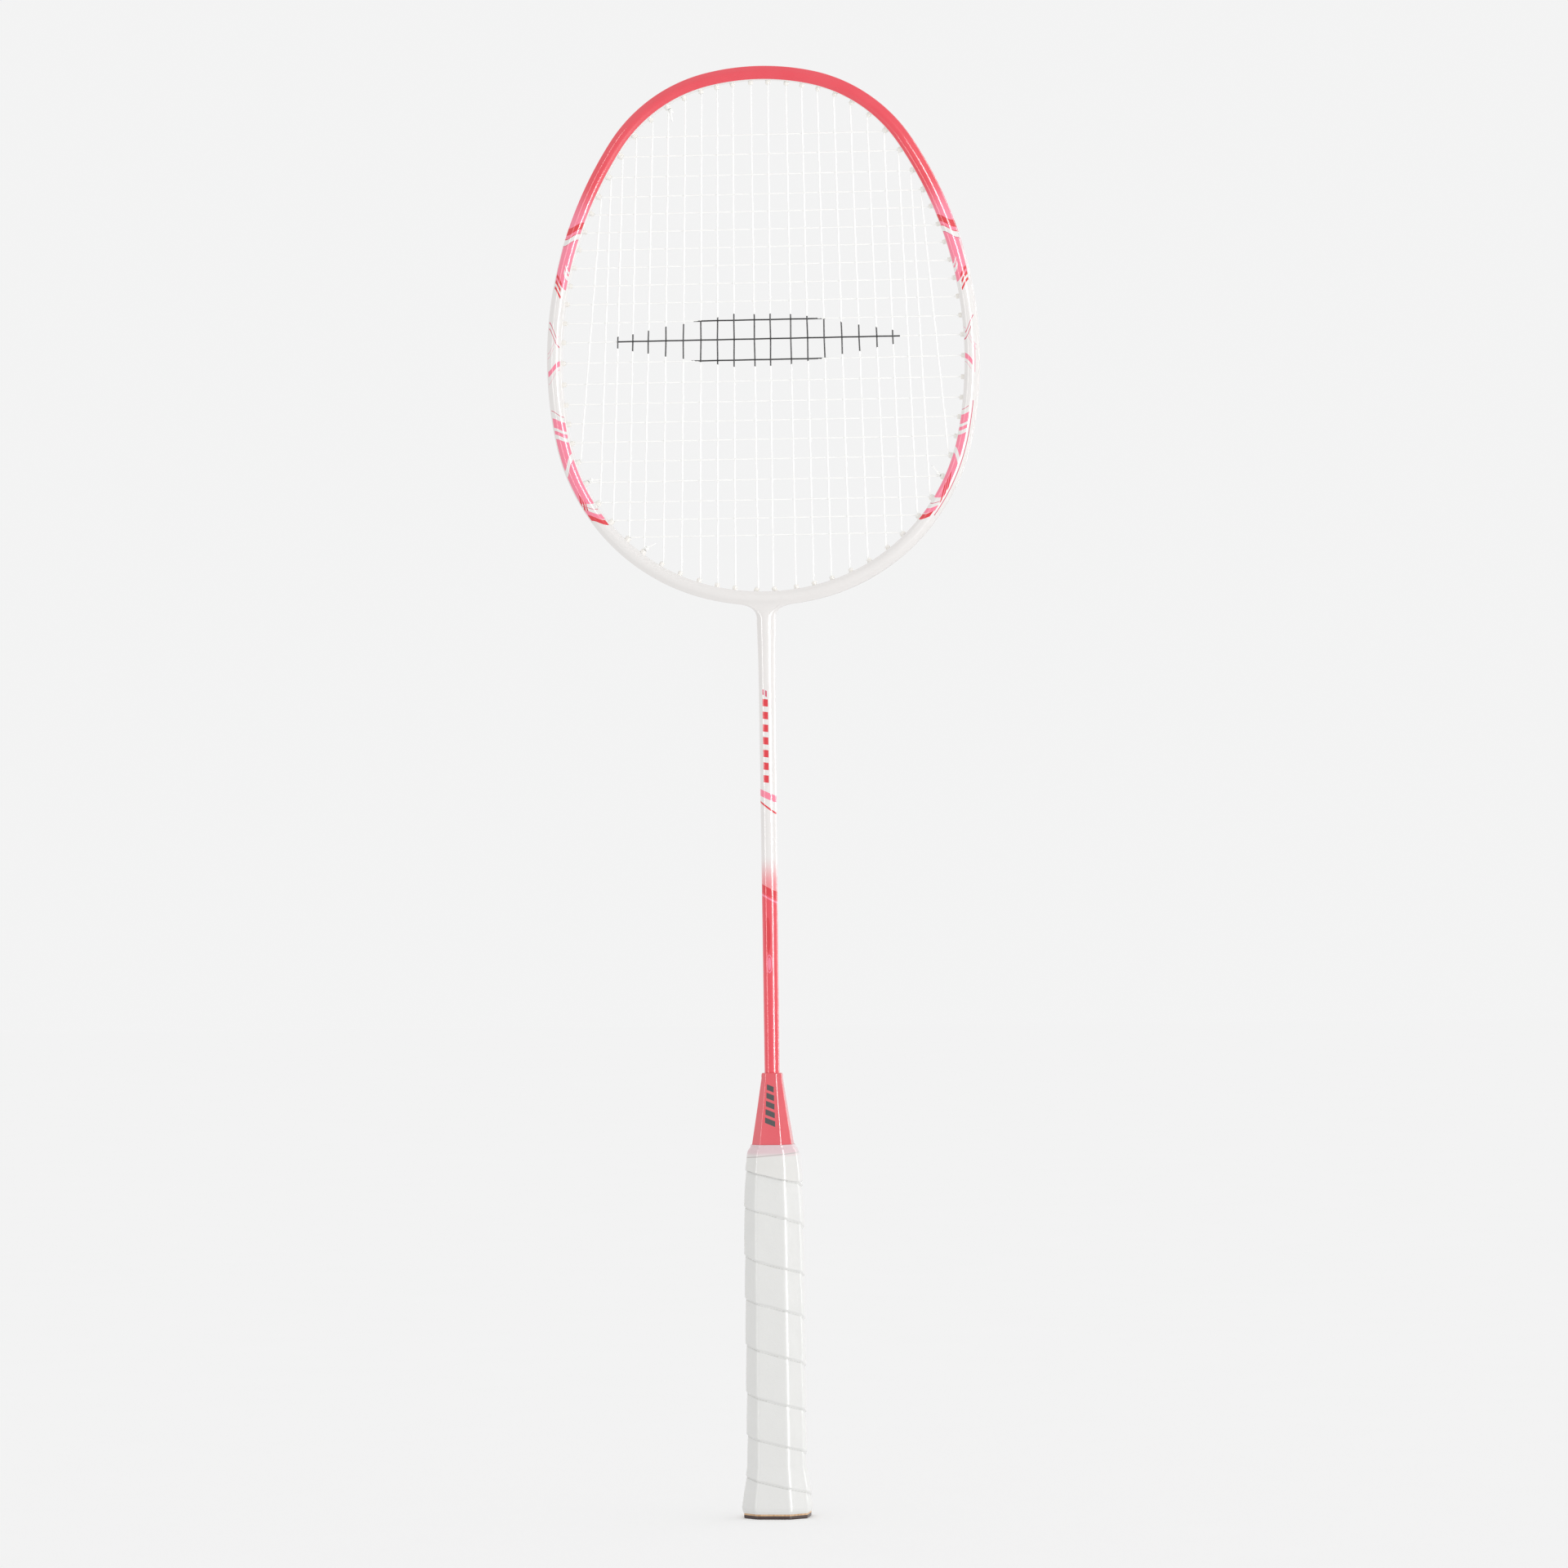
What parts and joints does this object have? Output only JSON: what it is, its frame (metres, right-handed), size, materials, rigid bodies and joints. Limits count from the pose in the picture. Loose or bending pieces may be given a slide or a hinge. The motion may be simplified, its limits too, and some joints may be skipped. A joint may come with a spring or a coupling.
{
  "type": "badminton racket",
  "caption": "Badminton racket: oval carbon hoop with woven string bed, slim round shaft, faceted cone and wrapped octagonal grip with a flared butt.",
  "frame": {"origin": "centre of the flat end of the butt", "axes": "+Z from the butt to the crown of the head, X across the head in the plane of the strings, Y through the head; -Y is the side that the reference view faces"},
  "size_m": [0.2028, 0.0296, 0.675],
  "materials": {
    "frame_paint": "lacquered carbon hoop: coral red crown, pink and white bands, white throat",
    "shaft_paint": "lacquered carbon tube, white fading to coral red",
    "cone_paint": "coral red gloss paint",
    "tee_metal": "bare, hidden inside",
    "handle_wood": "pale bare wood",
    "cap_plastic": "dark brown, satin",
    "grip_film": "white synthetic leather with a glossy film",
    "band_tape": "thin translucent white tape",
    "grommet_nylon": "natural white nylon",
    "string_nylon": "white nylon with a smooth coating"
  },
  "bodies": {
    "root": {"head_frame": "frame_paint", "t_joint": "tee_metal", "shaft": "shaft_paint", "cone": "cone_paint", "handle_core": "handle_wood", "butt_cap": "cap_plastic", "grip_tape": "grip_film", "finishing_tape": "band_tape", "grommets_top": "grommet_nylon", "grommets_bottom": "grommet_nylon", "grommets_left": "grommet_nylon", "grommets_right": "grommet_nylon", "double_grommets": "grommet_nylon", "main_string": "string_nylon", "cross_string": "string_nylon", "tie_off_knots": "string_nylon"}
  },
  "joints": []
}
